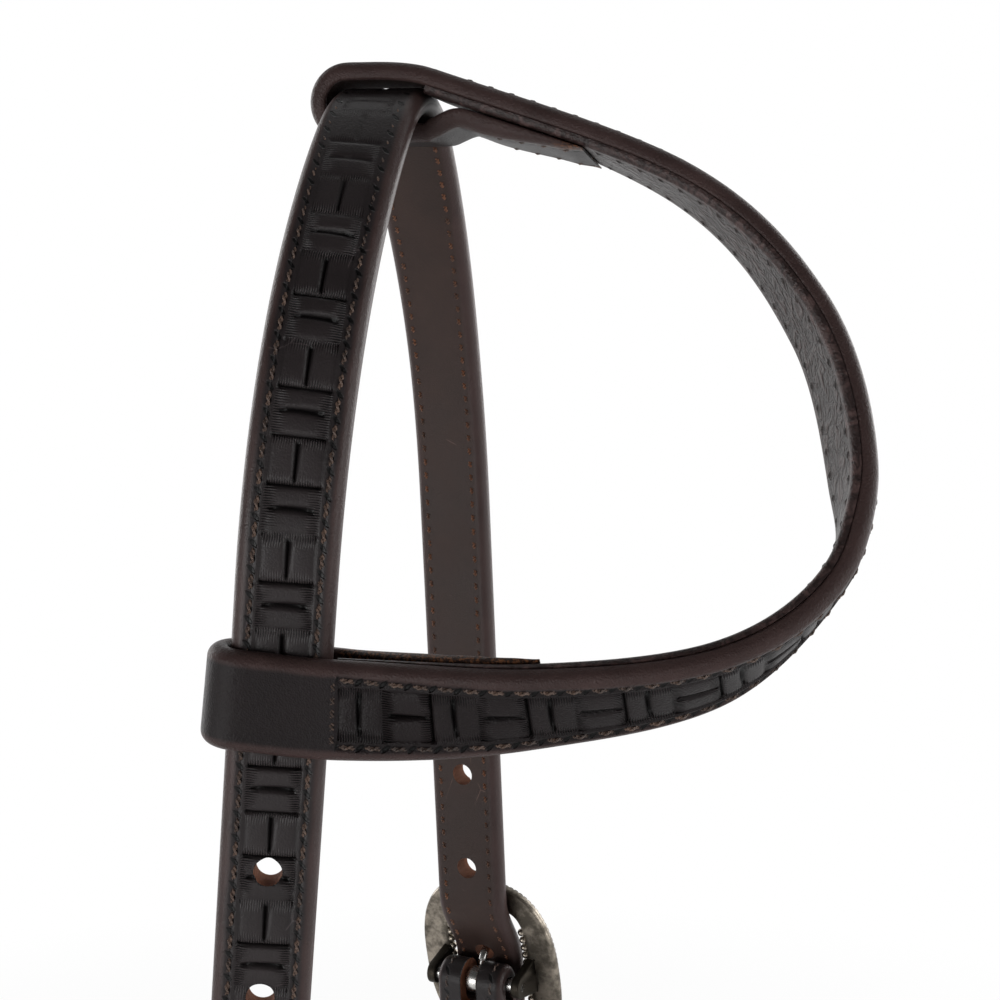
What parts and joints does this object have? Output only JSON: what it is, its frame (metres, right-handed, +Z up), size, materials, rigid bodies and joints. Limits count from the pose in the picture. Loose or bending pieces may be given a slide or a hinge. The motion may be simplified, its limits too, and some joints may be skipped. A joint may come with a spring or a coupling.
{
  "type": "western one-ear headstall",
  "caption": "Dark leather western headstall with a stamped, doubled crown, a sliding ear loop, oval silver cart buckles and cheek pieces with screw-post bit ends.",
  "frame": {"origin": "the underside of the crown strap where it rests on the horse's poll, in the middle of the strap", "axes": "+X towards the horse's nose, +Y towards the side without the ear loop, +Z up"},
  "size_m": [0.1481, 0.1457, 0.4953],
  "materials": {
    "stamped_leather": "black basket-weave stamped grain face with burnished dark brown edges",
    "plain_leather": "plain oiled dark brown-black grain",
    "lining_leather": "smooth dark brown lining leather",
    "antiqued_silver": "engraved silver plate with darkened ground",
    "bright_steel": "polished steel"
  },
  "bodies": {
    "crown": {"crown_outer": "stamped_leather", "crown_lining": "lining_leather", "ear_poll_loop": "plain_leather", "ear_band_outer": "stamped_leather", "ear_band_lining": "lining_leather", "ear_side_cheek_outer": "stamped_leather", "ear_side_cheek_lining": "lining_leather", "ear_side_buckle_frame": "antiqued_silver", "ear_side_buckle_bar": "bright_steel", "ear_side_lower_post": "antiqued_silver", "ear_side_lower_screw": "antiqued_silver", "ear_side_upper_post": "antiqued_silver", "ear_side_upper_screw": "antiqued_silver", "far_side_cheek_outer": "stamped_leather", "far_side_cheek_lining": "lining_leather", "far_side_buckle_frame": "antiqued_silver", "far_side_buckle_bar": "bright_steel", "far_side_lower_post": "antiqued_silver", "far_side_lower_screw": "antiqued_silver", "far_side_upper_post": "antiqued_silver", "far_side_upper_screw": "antiqued_silver"},
    "ear_loop": {"ear_cheek_loop": "plain_leather"},
    "ear_side_keeper": {"ear_side_keeper": "plain_leather"},
    "far_side_keeper": {"far_side_keeper": "plain_leather"},
    "ear_side_tongue": {"ear_side_buckle_tongue": "bright_steel"},
    "far_side_tongue": {"far_side_buckle_tongue": "bright_steel"}
  },
  "joints": [
    {"name": "ear_loop_slide", "type": "slide", "parent": "crown", "child": "ear_loop", "axis": [-0.0785, 0, -0.9969], "range_m": [-0.008, 0.02], "deforming": ["ear_band_outer", "ear_band_lining"]},
    {"name": "ear_side_keeper_slide", "type": "slide", "parent": "crown", "child": "ear_side_keeper", "axis": [-0.0785, 0, -0.9969], "range_m": [-0.008, 0.008]},
    {"name": "far_side_keeper_slide", "type": "slide", "parent": "crown", "child": "far_side_keeper", "axis": [0.0454, 0, -0.999], "range_m": [-0.008, 0.008]},
    {"name": "ear_side_tongue_hinge", "type": "hinge", "parent": "crown", "child": "ear_side_tongue", "pos_m": [-0.01792, -0.05592, -0.20133], "axis": [0.983, 0.1668, -0.0774], "range_deg": [0, 3]},
    {"name": "far_side_tongue_hinge", "type": "hinge", "parent": "crown", "child": "far_side_tongue", "pos_m": [0.01114, 0.05592, -0.21898], "axis": [-0.9399, 0.3387, -0.0427], "range_deg": [0, 3]}
  ]
}
